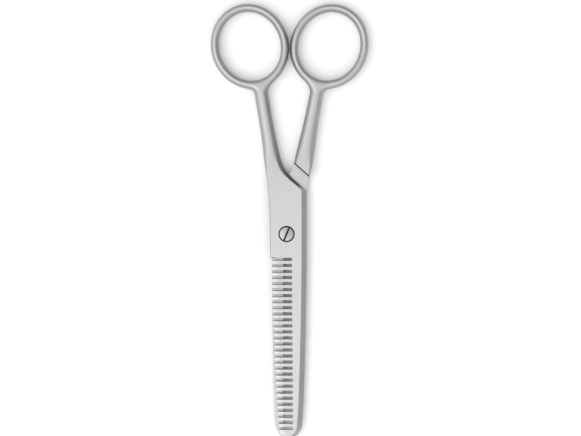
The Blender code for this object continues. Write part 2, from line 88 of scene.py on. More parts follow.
# Body edges beside the pivot: (towards the rings, to the right)
FRONT_OUTER_EDGE = ((-6.0 * MM, -6.13 * MM), (4.5 * MM, -6.28 * MM), (12.9 * MM, -6.66 * MM),
                    (17.4 * MM, -7.05 * MM), (21.9 * MM, -7.65 * MM))
FRONT_INNER_EDGE = ((16.2 * MM, 7.6 * MM), (17.4 * MM, 6.4 * MM), (18.9 * MM, 4.7 * MM),
                    (20.4 * MM, 2.95 * MM), (21.9 * MM, 1.4 * MM), (23.4 * MM, 0.1 * MM),
                    (25.0 * MM, -1.0 * MM))
REAR_INNER_EDGE = ((16.4 * MM, -5.65 * MM), (17.4 * MM, -4.6 * MM), (18.9 * MM, -2.9 * MM),
                   (20.4 * MM, -1.1 * MM), (22.0 * MM, 0.4 * MM), (24.0 * MM, 1.7 * MM),
                   (26.0 * MM, 2.65 * MM))
REAR_OUTER_EDGE = ((-1.5 * MM, 6.9 * MM), (4.5 * MM, 7.1 * MM), (12.0 * MM, 7.35 * MM),
                   (17.0 * MM, 7.75 * MM), (21.0 * MM, 8.3 * MM), (24.0 * MM, 9.2 * MM))

# Shoulders where the full depth ends
FRONT_SHOULDER = 20.9 * MM
REAR_SHOULDER = 22.1 * MM
SHOULDER_SLANT = math.radians(42.3)
SHOULDER_ROOT = 0.5 * MM
ROOT_SHADE = 0.6 * MM
NECK_CLEAR_OF_FRONT = 0.8 * MM

# Blades
SPINE_REACH = 7.6 * MM
SPINE_SWEEP = 1.75 * MM
TOOTH_REACH = 5.75 * MM
TOOTH_SWEEP = 3.2 * MM
REAR_SPINE_REACH = 5.65 * MM
REAR_SPINE_SWEEP = 1.3 * MM
CUTTING_EDGE_REACH = 1.29 * MM
CHOIL_START = 1.5 * MM
CHOIL_END = 8.9 * MM
TIP_RADIUS = 5.1 * MM
LAST_TIP_ANGLE = math.radians(84.0)

# Slots between the teeth
SLOT_PITCH = 2.285 * MM
SLOT_WIDTH = 1.15 * MM
FIRST_SLOT = 9.59 * MM
SLOT_COUNT = 29
SLOT_ROOT = 1.97 * MM
SLOT_ROOT_DRIFT = 0.45 * MM
SLOT_ROOT_ROUNDING = 0.22 * MM

# Corner cuts of a cross-section: (across, in depth)
PLAIN_CUT = (0.3 * MM, 0.3 * MM)
SPINE_CUT = (1.9 * MM, 1.7 * MM)
INNER_EDGE_CUT = (1.6 * MM, 1.4 * MM)
TOOTH_CUT = (2.3 * MM, 0.6 * MM)
REAR_SPINE_CUT = (1.2 * MM, 1.1 * MM)
CUTTING_BEVEL_REACH = 1.8 * MM
CUTTING_LAND = 0.4 * MM
ROUNDING_START = 19.0 * MM
ROUNDING_END = 36.0 * MM
CUT_SHARE = 0.45
EDGE_BREAK = 0.07 * MM
SHORTEST_EDGE = 0.03 * MM
FINEST_STEP = 0.0001 * MM

# Pivot screw and washer
HEAD_DEPTH = 0.9 * MM
SCREW_SHOULDER_RADIUS = 1.75 * MM
SCREW_END_RADIUS = 1.45 * MM
SCREW_SLOT_WIDTH = 0.7 * MM
SCREW_SLOT_DEPTH = 0.55 * MM
SCREW_SLOT_ANGLE = math.radians(68.0)
RECESS_RADIUS = 3.05 * MM
RECESS_FLOOR = 3.75 * MM
BORE_RADIUS = 1.85 * MM
REAR_BORE_RADIUS = 1.55 * MM

BEYOND = 5 * MM
OVERSIZE = 0.2

# The studio's brighter side, seen from the shears
BRIGHT_SIDE = (-0.55, -0.83, 0.0)

# Tones, from dark to light, and the share of its tone that a place keeps where shade is painted into the
# colour
STEEL_TONES = (0.42, 0.48)
SCREW_TONES = (0.32, 0.42)
BLADE_SIDE_SHADE_SHARE = 0.08
HANDLE_SIDE_SHADE_SHARE = 0.62
RECESS_SHADE_SHARE = 0.05
SHOULDER_ROOT_SHADE_SHARE = 0.14
SCREW_SLOT_SHADE_SHARE = 0.1


# ---------------------------------------------------------------- hand tools

def start_editing(kind='VERT'):
    """Open the active piece in edit mode with nothing selected."""
    bpy.ops.object.mode_set(mode='EDIT')
    bpy.ops.mesh.select_mode(type=kind)
    bpy.ops.mesh.select_all(action='DESELECT')


def stop_editing():
    """Back to object mode."""
    bpy.ops.object.mode_set(mode='OBJECT')


def edited():
    """Mesh of the piece that is open in edit mode."""
    return bmesh.from_edit_mesh(bpy.context.edit_object.data)


def pick(elements, test):
    """Select exactly the vertices, edges or faces that pass a test."""
    bpy.ops.mesh.select_all(action='DESELECT')
    shape = edited()
    for element in getattr(shape, elements):
        if test(element):
            element.select_set(True)
    shape.select_flush_mode()
    bmesh.update_edit_mesh(bpy.context.edit_object.data)


def fix_place():
    """Write the active piece's place, turn and scale into its mesh."""
    bpy.ops.object.transform_apply(location=True, rotation=True, scale=True)


def only(piece):
    """Make one piece the selected and active one."""
    bpy.ops.object.select_all(action='DESELECT')
    piece.select_set(True)
    bpy.context.view_layer.objects.active = piece


def named(name):
    """Name the active piece and its mesh."""
    piece = bpy.context.object
    piece.name = name
    piece.data.name = name
    return piece


def check_closed(piece, work):
    """Stop the build when a piece has been lost or left open, so that it can't go missing unnoticed."""
    shape = bmesh.new()
    shape.from_mesh(piece.data)
    faces = len(shape.faces)
    open_edges = sum(1 for edge in shape.edges if len(edge.link_faces) != 2)
    shape.free()
    if faces == 0 or open_edges > 0:
        raise RuntimeError(f"{work} left {faces} faces and {open_edges} open edges")


def cut_away(piece, cutter):
    """Cut one shape out of a piece and throw the cutter away."""
    only(piece)
    cut = piece.modifiers.new("cut", 'BOOLEAN')
    cut.operation = 'DIFFERENCE'
    cut.solver = 'EXACT'
    cut.object = cutter
    bpy.ops.object.modifier_apply(modifier=cut.name)
    bpy.data.objects.remove(cutter, do_unlink=True)
    check_closed(piece, "a cut")


def settle(piece):
    """Put every point on a very fine grid.

    The rounding's last digits differ from build to build, and on some of them a later cut comes out empty.
    """
    only(piece)
    start_editing()
    for vert in edited().verts:
        vert.co = [round(value / FINEST_STEP) * FINEST_STEP for value in vert.co]
    bmesh.update_edit_mesh(bpy.context.edit_object.data)
    stop_editing()


def smoothed(piece, levels):
    """Round a drawn-out blank with applied subdivision."""
    only(piece)
    rounding = piece.modifiers.new("rounding", 'SUBSURF')
    rounding.levels = levels
    rounding.render_levels = levels
    bpy.ops.object.modifier_apply(modifier=rounding.name)
    settle(piece)


def break_edges(piece, width, steps):
    """Take the sharpness off every hard edge, as a last pass on a polishing wheel.

    Where several short edges meet, a bevelled corner can overshoot: it is laid back on the sharp shape.
    """
    only(piece)
    start_editing()
    bpy.ops.mesh.select_all(action='SELECT')
    bpy.ops.mesh.dissolve_limited(angle_limit=math.radians(0.2))
    bpy.ops.mesh.remove_doubles(threshold=SHORTEST_EDGE)
    sharp_shape = BVHTree.FromBMesh(edited())
    stop_editing()
    edge = piece.modifiers.new("edge", 'BEVEL')
    edge.width = width
    edge.segments = steps
    edge.limit_method = 'ANGLE'
    edge.angle_limit = math.radians(28)
    edge.use_clamp_overlap = False
    bpy.ops.object.modifier_apply(modifier=edge.name)
    start_editing()
    for vert in edited().verts:
        nearest, _, _, distance = sharp_shape.find_nearest(vert.co)
        if distance > width / 2:
            vert.co = nearest
    bmesh.update_edit_mesh(bpy.context.edit_object.data)
    stop_editing()


def finish_shading(piece):
    """Smooth shading that keeps the ground edges crisp."""
    check_closed(piece, "modelling " + piece.name)
    only(piece)
    bpy.ops.object.shade_smooth_by_angle(angle=math.radians(30))
    flat_faces = piece.modifiers.new("flat_faces", 'WEIGHTED_NORMAL')
    flat_faces.keep_sharp = True
    flat_faces.weight = 100
    bpy.ops.object.modifier_apply(modifier=flat_faces.name)


# ---------------------------------------------------------------- outlines

def ease(share):
    """Smooth step from 0 to 1."""
    held = min(max(share, 0.0), 1.0)
    return held * held * (3.0 - 2.0 * held)


def mixed(first, second, share):
    """Values between two equally long tuples."""
    return tuple(a + (b - a) * share for a, b in zip(first, second))


def spread(first, last, steps):
    """Evenly spread places, both ends included."""
    return [first + (last - first) * step / steps for step in range(steps + 1)]


def smooth_value(points, place):
    """Value at a place on a smooth curve through (place, value) points, straight beyond its ends."""
    count = len(points)
    index = 0
    while index < count - 2 and place > points[index + 1][0]:
        index += 1
    slopes = []
    for near in (index, index + 1):
        before = points[max(near - 1, 0)]
        after = points[min(near + 1, count - 1)]
        slopes.append((after[1] - before[1]) / (after[0] - before[0]))
    (start, low), (end, high) = points[index], points[index + 1]
    if place <= start:
        return low + (place - start) * slopes[0]
    if place >= end:
        return high + (place - end) * slopes[1]
    span = end - start
    t = (place - start) / span
    from_low = (2 * t ** 3 - 3 * t ** 2 + 1) * low + (t ** 3 - 2 * t ** 2 + t) * span * slopes[0]
    from_high = (3 * t ** 2 - 2 * t ** 3) * high + (t ** 3 - t ** 2) * span * slopes[1]
    return from_low + from_high


def blade_share(y):
    """How far down the blade a place is, from 0 at the pivot to 1 at the tip."""
    return min(max(-y / PIVOT_TO_TIP, 0.0), 1.0)


def tip_centre():
    """Centre of the round tip that both blades share."""
    return SPINE_REACH - SPINE_SWEEP - TIP_RADIUS, TIP_RADIUS - PIVOT_TO_TIP


def inside_tip(x, y):
    """Hold an edge of either blade inside the round tip."""
    centre_x, centre_y = tip_centre()
    if y > centre_y:
        return x
    reach = math.sqrt(max(TIP_RADIUS ** 2 - (centre_y - y) ** 2, 0.0))
    return min(max(x, centre_x - reach), centre_x + reach)


def spine_edge(y):
    """Front blade's spine."""
    return inside_tip(SPINE_REACH - SPINE_SWEEP * blade_share(y) ** 2, y)


def tooth_edge(y):
    """Line of the tooth tips."""
    return inside_tip(TOOTH_SWEEP * blade_share(y) ** 2 - TOOTH_REACH, y)


def rear_spine_edge(y):
    """Rear blade's spine."""
    return inside_tip(REAR_SPINE_SWEEP * blade_share(y) ** 2 - REAR_SPINE_REACH, y)


def grinding(y):
    """How far the rear half has turned from body to blade along the choil."""
    return ease((-y - CHOIL_START) / (CHOIL_END - CHOIL_START))


def rear_blade_right(y):
    """Rear half's right edge below the pivot: it steps in along the choil to the cutting edge."""
    body = REAR_OUTER_EDGE[0][1]
    return inside_tip(body - (CUTTING_EDGE_REACH + body) * grinding(y), y)


def tip_places(last_turn, steps):
    """Places of the sections that round the tip, from its full width to its end."""
    centre = tip_centre()[1]
    return [centre - TIP_RADIUS * math.sin(turn) for turn in spread(0.0, last_turn, steps)]


# ---------------------------------------------------------------- handles

class Handle:
    """A finger ring with the shank that hangs from it."""

    def __init__(self, side, lean, attach, shank_foot_x, widths, outer_edge, inner_edge):
        self.side = side
        self.lean = math.radians(lean)
        self.attach = math.radians(attach)
        self.foot_x = shank_foot_x
        self.widths = widths
        self.edges = {side: outer_edge, -side: inner_edge}
        long_half = FINGER_HOLE_LENGTH / 2 + RING_WALL
        short_half = FINGER_HOLE_WIDTH / 2 + RING_WALL
        reach = math.hypot(short_half * math.cos(self.lean), long_half * math.sin(self.lean))
        self.centre = (RING_MEETING + side * (RING_GAP / 2 + reach), RING_HEIGHT)
        self.root = self.on_ring(self.attach, RING_WALL / 2)

    def on_ring(self, angle, outset):
        """Point of the ring at an angle from its lowest end, outset from the finger hole's edge."""
        across = (FINGER_HOLE_WIDTH / 2 + outset) * math.sin(angle)
        along = -(FINGER_HOLE_LENGTH / 2 + outset) * math.cos(angle)
        x = across * math.cos(self.lean) - along * math.sin(self.lean)
        y = across * math.sin(self.lean) + along * math.cos(self.lean)
        return self.centre[0] + x, self.centre[1] + y

    def ring_angle(self, x, y):
        """Angle from the shank's side of the ring, and how far out a place lies (1 is mid-wall)."""
        dx, dy = x - self.centre[0], y - self.centre[1]
        across = dx * math.cos(self.lean) + dy * math.sin(self.lean)
        along = dy * math.cos(self.lean) - dx * math.sin(self.lean)
        across /= (FINGER_HOLE_WIDTH + RING_WALL) / 2
        along /= (FINGER_HOLE_LENGTH + RING_WALL) / 2
        return math.atan2(across, -along) - self.attach, math.hypot(across, along)

    def middle(self, y):
        """Middle of the shank."""
        return self.foot_x + (self.root[0] - self.foot_x) * self.share(y)

    def share(self, y):
        """How far a place is along the shank, from 0 to 1 at its ring."""
        return (y - SHANK_FOOT) / (self.root[1] - SHANK_FOOT)

    def edge(self, y, hand):
        """Edge of the shank or of the body below it, on the left (-1) or the right (1)."""
        if y > SHANK_FOOT:
            return self.middle(y) + hand * smooth_value(self.widths, self.share(y)) / 2
        lead = ((place, self.middle(place) + hand * smooth_value(self.widths, self.share(place)) / 2)
                for place in (SHANK_FOOT, SHANK_FOOT + 3 * MM))
        return smooth_value((*self.edges[hand], *lead), y)


FRONT_HANDLE = Handle(-1, 15.7, -1.0, -5.35 * MM, FRONT_SHANK_WIDTHS, FRONT_OUTER_EDGE, FRONT_INNER_EDGE)
REAR_HANDLE = Handle(1, -19.4, 3.5, 6.55 * MM, REAR_SHANK_WIDTHS, REAR_OUTER_EDGE, REAR_INNER_EDGE)


def finger_ring(handle):
    """Oval ring on its place: a round ring, its loops drawn out to the oval one by one."""
    radius = (FINGER_HOLE_WIDTH + RING_WALL) / 2
    bpy.ops.mesh.primitive_torus_add(major_segments=RING_SEGMENTS, minor_segments=RING_CORNERS,
                                     major_radius=radius, minor_radius=RING_WALL / 2)
    ring = bpy.context.object
    ring.rotation_euler.z = handle.attach - math.pi / 2
    fix_place()
    corner = 2 * math.pi / RING_CORNERS
    round_share = (2 + math.cos(2 * math.pi / RING_SEGMENTS)) / 3
    section_share = (2 + RING_FULLNESS * math.cos(corner)) / 3
    wall = RING_WALL / 2 - RING_TRIM
    depth = FULL_DEPTH / 2 - RING_TRIM
    start_editing()
    for index in range(RING_CORNERS):
        turn = index * corner
        across = RING_WALL / 2 * math.cos(turn)
        height = RING_WALL / 2 * math.sin(turn)
        full = RING_FULLNESS if index % 2 else 1.0
        reach = wall * math.cos(turn) * full / section_share
        stretch_x = ((FINGER_HOLE_WIDTH + RING_WALL) / 2 + reach) / round_share / (radius + across)
        stretch_y = ((FINGER_HOLE_LENGTH + RING_WALL) / 2 + reach) / round_share / (radius + across)
        stretch_z = depth / (RING_WALL / 2) * full / section_share

        def on_loop(vertex):
            near = abs(math.hypot(vertex.co.x, vertex.co.y) - radius - across) < 0.02 * MM
            return near and abs(vertex.co.z - height) < 0.02 * MM and not vertex.tag

        pick('verts', on_loop)
        for vertex in edited().verts:
            vertex.tag = vertex.tag or vertex.select
        bpy.ops.transform.resize(value=(stretch_x, stretch_y, stretch_z), center_override=(0, 0, 0))
    stop_editing()
    ring.rotation_euler.z = handle.lean
    ring.location = (*handle.centre, FULL_DEPTH / 2)
    fix_place()
    return ring


def open_for_shank(handle):
    """Open the ring's outer side where the shank grows out of it, and leave that border selected."""
    def facing_shank(face):
        middle = face.calc_center_median()
        angle, reach = handle.ring_angle(middle.x, middle.y)
        return abs(angle) < 2 * math.pi / RING_SEGMENTS and reach > 1.0

    start_editing('FACE')
    pick('faces', facing_shank)
    bpy.ops.mesh.delete(type='FACE')
    bpy.ops.mesh.select_mode(type='EDGE')
    bpy.ops.mesh.select_non_manifold()
    for vertex in edited().verts:
        if vertex.select:
            vertex.co.z = min(max(vertex.co.z, RING_TRIM), FULL_DEPTH - RING_TRIM)


def round_the_section(vertices):
    """Vertices of one open section in order, from the middle of its underside round by the right."""
    low = Vector(min(v.co[axis] for v in vertices) for axis in range(3))
    high = Vector(max(v.co[axis] for v in vertices) for axis in range(3))
    middle = (low + high) / 2
    start = math.radians(100)

    def turn(vertex):
        angle = math.atan2(vertex.co.z - middle.z, vertex.co.x - middle.x)
        return (angle + start) % (2 * math.pi)

    return sorted(vertices, key=turn)


def draw_out(points):
    """Extrude the open end and lay its corners on the next cross-section."""
    bpy.ops.mesh.extrude_region_move()
    shape = edited()
    end = round_the_section([vertex for vertex in shape.verts if vertex.select])
    for vertex, point in zip(end, points):
        vertex.co = point
    bmesh.update_edit_mesh(bpy.context.edit_object.data)


def cross_section(y, left, right, bottom, top, cuts):
    """Twelve corners of a section, from the middle of its underside round by the right side.

    The cuts are (across, in depth) for lower left, lower right, upper right and upper left.
    """
    width, depth = right - left, top - bottom
    held = [(min(a, CUT_SHARE * width), min(b, CUT_SHARE * depth)) for a, b in cuts]
    (low_left, low_right, high_right, high_left) = held
    middle_x, middle_z = (left + right) / 2, (bottom + top) / 2
    outline = ((middle_x, bottom), (right - low_right[0], bottom), (right, bottom + low_right[1]),
               (right, middle_z), (right, top - high_right[1]), (right - high_right[0], top),
               (middle_x, top), (left + high_left[0], top), (left, top - high_left[1]),
               (left, middle_z), (left, bottom + low_left[1]), (left + low_left[0], bottom))
    return [Vector((x, y, z)) for x, z in outline]


def shank_section(handle, y, cuts):
    """Section of shank or upper body, whose cuts run out into the shank's rounding."""
    left, right = handle.edge(y, -1), handle.edge(y, 1)
    rounding = ease((y - ROUNDING_START) / (ROUNDING_END - ROUNDING_START))
    full_round = (SHANK_ROUNDING * (right - left), SHANK_ROUNDING * FULL_DEPTH)
    worn = [mixed(cut, full_round, rounding) for cut in cuts]
    return cross_section(y, left, right, 0.0, FULL_DEPTH, worn)


def shank_places(handle):
    """Places of the shank's sections, from below its ring down to its foot."""
    top = min(handle.on_ring(handle.attach + math.radians(turn), RING_WALL)[1] for turn in (-9, 0, 9))
    return [top - 0.9 * MM] + spread(top - 2.2 * MM, SHANK_FOOT + 1.5 * MM, 8)


def draw_shank(handle, upper_cuts, places_below):
    """Draw the shank and upper body out of the opened ring."""
    for y in shank_places(handle) + places_below:
        draw_out(shank_section(handle, y, upper_cuts))


def close_end():
    """Close the open end of the blank."""
    bpy.ops.mesh.edge_face_add()


def keep_corners_crisp():
    """Crease the lengthwise corner lines, fading out up the shank where it is forged round."""
    shape = edited()
    crease = shape.edges.layers.float.get("crease_edge") or shape.edges.layers.float.new("crease_edge")
    for edge in shape.edges:
        middle = (edge.verts[0].co + edge.verts[1].co) / 2
        if middle.y > ROUNDING_END or len(edge.link_faces) < 2:
            continue
        along = edge.verts[1].co - edge.verts[0].co
        lengthwise = abs(along.y) > 0.02 * MM
        least_turn = math.radians(8) if lengthwise else math.radians(30)
        if edge.calc_face_angle(0.0) > least_turn:
            fade = ease((middle.y - ROUNDING_START) / (ROUNDING_END - ROUNDING_START))
            edge[crease] = 1.0 - fade
    bmesh.update_edit_mesh(bpy.context.edit_object.data)


def front_blank():
    """Front half before its slots and recess are cut."""
    half = finger_ring(FRONT_HANDLE)
    open_for_shank(FRONT_HANDLE)
    spine_top = FRONT_INNER_EDGE[0][0]
    upper = [27.5, 25.8, 24.4, 23.2, 22.0, 20.6, 19.0, 17.6, 16.5]
    cuts = (PLAIN_CUT, INNER_EDGE_CUT, INNER_EDGE_CUT, PLAIN_CUT)
    draw_shank(FRONT_HANDLE, cuts, [place * MM for place in upper])
    body_end = SLOT_WIDTH / 2 - FIRST_SLOT + 0.3 * MM
    for y in spread(spine_top, body_end, 6):
        left = FRONT_HANDLE.edge(max(y, FRONT_OUTER_EDGE[0][0]), -1)
        top = FULL_DEPTH - BLADE_THINNING * blade_share(y)
        cuts = (PLAIN_CUT, PLAIN_CUT, SPINE_CUT, PLAIN_CUT)
        draw_out(cross_section(y, left, spine_edge(y), 0.0, top, cuts))
    blade_top = SLOT_WIDTH / 2 - FIRST_SLOT
    for y in spread(blade_top, tip_centre()[1], 12)[:-1] + tip_places(LAST_TIP_ANGLE, 8):
        top = FULL_DEPTH - BLADE_THINNING * blade_share(y)
        cuts = (PLAIN_CUT, PLAIN_CUT, SPINE_CUT, TOOTH_CUT)
        draw_out(cross_section(y, tooth_edge(y), spine_edge(y), 0.0, top, cuts))
    close_end()
    keep_corners_crisp()
    stop_editing()
    return half


def rear_blank():
    """Rear half before its blade side is cut to half depth."""
    half = finger_ring(REAR_HANDLE)
    open_for_shank(REAR_HANDLE)
    corner = REAR_INNER_EDGE[0][0]
    upper = [27.5, 25.8, 24.4, 23.2, 22.0, 20.6, 19.0, 17.6, 16.7]
    draw_shank(REAR_HANDLE, (PLAIN_CUT,) * 4, [place * MM for place in upper])
    for y in spread(corner, -CHOIL_START, 5):
        right = REAR_HANDLE.edge(y, 1)
        draw_out(cross_section(y, -REAR_SPINE_REACH, right, 0.0, FULL_DEPTH, (PLAIN_CUT,) * 4))
    last_turn = math.acos((tip_centre()[0] + CUTTING_EDGE_REACH + 0.3 * MM) / TIP_RADIUS)
    choil = spread(-CHOIL_START, -CHOIL_END, 8)[1:]
    blade = spread(-CHOIL_END, tip_centre()[1], 10)[1:-1] + tip_places(last_turn, 6)
    for y in choil + blade:
        bottom = BLADE_THINNING * blade_share(y)
        bevel = (CUTTING_BEVEL_REACH, HALF_DEPTH - CUTTING_LAND - bottom)
        cutting = mixed(PLAIN_CUT, bevel, grinding(y))
        spine = mixed(PLAIN_CUT, REAR_SPINE_CUT, grinding(y))
        cuts = (spine, cutting, PLAIN_CUT, PLAIN_CUT)
        draw_out(cross_section(y, rear_spine_edge(y), rear_blade_right(y), bottom, FULL_DEPTH, cuts))
    close_end()
    keep_corners_crisp()
    stop_editing()
    return half


# ---------------------------------------------------------------- cutters

def shoulder_cutter(reach, slant, bottom, top):
    """Block on the pivot's side of a slanted shoulder, its leading edge rounded for the root."""
    bpy.ops.mesh.primitive_cube_add(size=1.0, scale=(OVERSIZE, OVERSIZE, top - bottom))
    cutter = bpy.context.object
    cutter.location = (0.0, reach - OVERSIZE / 2, (bottom + top) / 2)
    fix_place()
    shoulder_level = top if bottom < 0 else bottom
    start_editing('EDGE')
    pick('edges', lambda edge: all(v.co.y > 0 and abs(v.co.z - shoulder_level) < 0.01 * MM
                                   for v in edge.verts))
    bpy.ops.mesh.bevel(offset=SHOULDER_ROOT, segments=4)
    stop_editing()
    cutter.rotation_euler.z = slant
    fix_place()
    return cutter


def slot_cutter():
    """Row of round-rooted blocks that open the slots between the teeth."""
    length = TOOTH_REACH + SLOT_ROOT + BEYOND
    bpy.ops.mesh.primitive_cube_add(size=1.0, scale=(length, SLOT_WIDTH, 3 * FULL_DEPTH))
    first = bpy.context.object
    first.location.x = -length / 2
    fix_place()
    start_editing('EDGE')
    pick('edges', lambda edge: all(v.co.x > -1 * MM for v in edge.verts)
         and abs(edge.verts[0].co.y - edge.verts[1].co.y) < 0.01 * MM)
    bpy.ops.mesh.bevel(offset=SLOT_ROOT_ROUNDING, segments=4)
    stop_editing()
    blocks = []
    for index in range(SLOT_COUNT):
        only(first)
        bpy.ops.object.duplicate()
        y = -FIRST_SLOT - index * SLOT_PITCH
        bpy.context.object.location = (SLOT_ROOT + SLOT_ROOT_DRIFT * blade_share(y), y, 0.0)
        blocks.append(bpy.context.object)
    bpy.data.objects.remove(first, do_unlink=True)
    for block in blocks:
        block.select_set(True)
    bpy.context.view_layer.objects.active = blocks[0]
    bpy.ops.object.join()
    fix_place()
    return bpy.context.object


def round_cutter(radius, bottom, top):
    """Plug for a round bore or recess about the pivot."""
    bpy.ops.mesh.primitive_cylinder_add(vertices=96, radius=radius, depth=top - bottom,
                                        location=(0.0, 0.0, (bottom + top) / 2))
    fix_place()
    return bpy.context.object


# ---------------------------------------------------------------- pieces

def toothed_half():
    """Front half: ring, shank, body and toothed blade, with the screw's recess."""
    half = front_blank()
    smoothed(half, 2)
    inner_face = HALF_DEPTH + RIDE_GAP
    cut_away(half, shoulder_cutter(FRONT_SHOULDER, SHOULDER_SLANT, -BEYOND, inner_face))
    cut_away(half, slot_cutter())
    cut_away(half, round_cutter(BORE_RADIUS, -BEYOND, FULL_DEPTH + BEYOND))
    cut_away(half, round_cutter(RECESS_RADIUS, RECESS_FLOOR, FULL_DEPTH + BEYOND))
    break_edges(half, EDGE_BREAK, 2)
    only(half)
    return named("toothed_half_steel")


def straight_half():
    """Rear half: ring, shank, neck and straight blade, with the hole for the screw's end."""
    half = rear_blank()
    smoothed(half, 2)
    cut_away(half, shoulder_cutter(REAR_SHOULDER, -SHOULDER_SLANT, HALF_DEPTH, FULL_DEPTH + BEYOND))
    cut_away(half, round_cutter(REAR_BORE_RADIUS, -BEYOND, FULL_DEPTH))
    break_edges(half, EDGE_BREAK, 2)
    only(half)
    return named("straight_half_steel")


def pivot_screw():
    """Slotted screw: a slightly domed head, the shoulder and the end below it."""
    radius = (SCREW_HIGH.x - SCREW_LOW.x) / 2
    bpy.ops.mesh.primitive_cylinder_add(vertices=96, radius=radius, depth=HEAD_DEPTH,
                                        location=(0.0, 0.0, SCREW_HIGH.z - HEAD_DEPTH / 2))
    screw = bpy.context.object
    fix_place()
    start_editing('FACE')
    pick('faces', lambda face: face.normal.z < -0.9)
    bpy.ops.mesh.inset(thickness=radius - SCREW_SHOULDER_RADIUS)
    shoulder_bottom = HALF_DEPTH + 0.15 * MM
    drop = SCREW_HIGH.z - HEAD_DEPTH - shoulder_bottom
    bpy.ops.mesh.extrude_region_move(TRANSFORM_OT_translate={"value": (0, 0, -drop)})
    bpy.ops.mesh.inset(thickness=SCREW_SHOULDER_RADIUS - SCREW_END_RADIUS)
    drop = shoulder_bottom - SCREW_LOW.z
    bpy.ops.mesh.extrude_region_move(TRANSFORM_OT_translate={"value": (0, 0, -drop)})
    pick('faces', lambda face: face.normal.z > 0.9 and face.calc_center_median().z > SCREW_HIGH.z - 0.01 * MM)
    crown = 0.16 * MM
    bpy.ops.transform.translate(value=(0, 0, -crown))
    steps = 6
    for step in range(steps):
        outer = 1 - step / (steps + 1)
        inner = 1 - (step + 1) / (steps + 1)
        bpy.ops.mesh.inset(thickness=radius * (outer - inner))
        bpy.ops.transform.translate(value=(0, 0, crown * (outer ** 2 - inner ** 2)))
    stop_editing()
    length = 2 * radius + BEYOND
    bpy.ops.mesh.primitive_cube_add(size=1.0, scale=(length, SCREW_SLOT_WIDTH, 2 * SCREW_SLOT_DEPTH))
    cutter = bpy.context.object
    cutter.location.z = SCREW_HIGH.z
    cutter.rotation_euler.z = SCREW_SLOT_ANGLE
    fix_place()
    cut_away(screw, cutter)
    break_edges(screw, 0.06 * MM, 2)
    only(screw)
    return named("pivot_screw_steel")


def tension_washer():
    """Thin ring under the screw's head."""
    outer = (WASHER_HIGH.x - WASHER_LOW.x) / 2
    bpy.ops.mesh.primitive_cylinder_add(vertices=96, radius=outer, depth=WASHER_HIGH.z - WASHER_LOW.z,
                                        location=(0.0, 0.0, (WASHER_LOW.z + WASHER_HIGH.z) / 2))
    washer = bpy.context.object
    fix_place()
    cut_away(washer, round_cutter(BORE_RADIUS, -BEYOND, FULL_DEPTH + BEYOND))
    break_edges(washer, 0.05 * MM, 3)
    only(washer)
    return named("tension_washer_nylon")


# ---------------------------------------------------------------- finishes

def new_finish(name):
    """Empty node material: its nodes, links and surface shader."""
    material = bpy.data.materials.new(name)
    material.use_nodes = True
    tree = material.node_tree
    return material, tree.nodes, tree.links, tree.nodes["Principled BSDF"]


def grain(nodes, links, source, stretch, scale, detail=3.0):
    """Noise drawn out along one direction, as a belt or a wheel leaves it."""
    place = nodes.new("ShaderNodeMapping")
    place.inputs["Scale"].default_value = stretch
    links.new(source, place.inputs["Vector"])
    noise = nodes.new("ShaderNodeTexNoise")
    noise.inputs["Scale"].default_value = scale
    noise.inputs["Detail"].default_value = detail
    links.new(place.outputs["Vector"], noise.inputs["Vector"])
    return noise.outputs["Fac"]


def scaled(nodes, links, source, low, high, from_low=0.3, from_high=0.7):
    """A pattern brought into a range."""
    span = nodes.new("ShaderNodeMapRange")
    span.inputs["From Min"].default_value = from_low
    span.inputs["From Max"].default_value = from_high
    span.inputs["To Min"].default_value = low
    span.inputs["To Max"].default_value = high
    links.new(source, span.inputs["Value"])
    return span.outputs["Result"]


def blended(nodes, links, share, first, second):
    """Mix of two patterns."""
    mix = nodes.new("ShaderNodeMix")
    mix.data_type = 'FLOAT'
    links.new(share, mix.inputs["Factor"])
    links.new(first, mix.inputs[2])
    links.new(second, mix.inputs[3])
    return mix.outputs[0]


def side_shade_mask(nodes, links):
    """1 on faces that look up or down, 0 on upright sides, where shade is painted into the colour."""
    normal = nodes.new("ShaderNodeNewGeometry").outputs["Normal"]
    axes = nodes.new("ShaderNodeSeparateXYZ")
    links.new(normal, axes.inputs["Vector"])
    upward = nodes.new("ShaderNodeMath")
    upward.operation = 'ABSOLUTE'
    links.new(axes.outputs["Z"], upward.inputs[0])
    return scaled(nodes, links, upward.outputs[0], 0.0, 1.0, 0.1, 0.72)


def tinted(nodes, links, share, dark, light):
    """Grey between two tones."""
    tone = nodes.new("ShaderNodeMix")
    tone.data_type = 'RGBA'
    tone.inputs[6].default_value = (dark, dark, dark * 0.99, 1)
    tone.inputs[7].default_value = (light, light, light * 0.99, 1)
    links.new(share, tone.inputs["Factor"])
    return tone.outputs[2]


def darkened(nodes, links, colour, share, least):
    """A colour taken down to a least share of itself where the share is 0."""
    return dimmed(nodes, links, colour, scaled(nodes, links, share, least, 1.0, 0.0, 1.0))


def dimmed(nodes, links, colour, level):
    """A colour times a level."""
    times = nodes.new("ShaderNodeVectorMath")
    times.operation = 'SCALE'
    links.new(colour, times.inputs[0])
    links.new(level, times.inputs["Scale"])
    return times.outputs["Vector"]


def outside_recess_shade(nodes, links, place):
    """0 in the screw's recess, which is darkened as painted shade, and 1 on the open steel around it."""
    from_pivot = nodes.new("ShaderNodeVectorMath")
    from_pivot.operation = 'MULTIPLY_ADD'
    from_pivot.inputs[1].default_value = (1.0, 1.0, 0.0)
    from_pivot.inputs[2].default_value = (-PIVOT.x, -PIVOT.y, 0.0)
    links.new(place, from_pivot.inputs[0])
    distance = nodes.new("ShaderNodeVectorMath")
    distance.operation = 'LENGTH'
    links.new(from_pivot.outputs["Vector"], distance.inputs[0])
    rim_end = RECESS_RADIUS + EDGE_BREAK
    return scaled(nodes, links, distance.outputs["Value"], 0.0, 1.0, RECESS_RADIUS, rim_end)


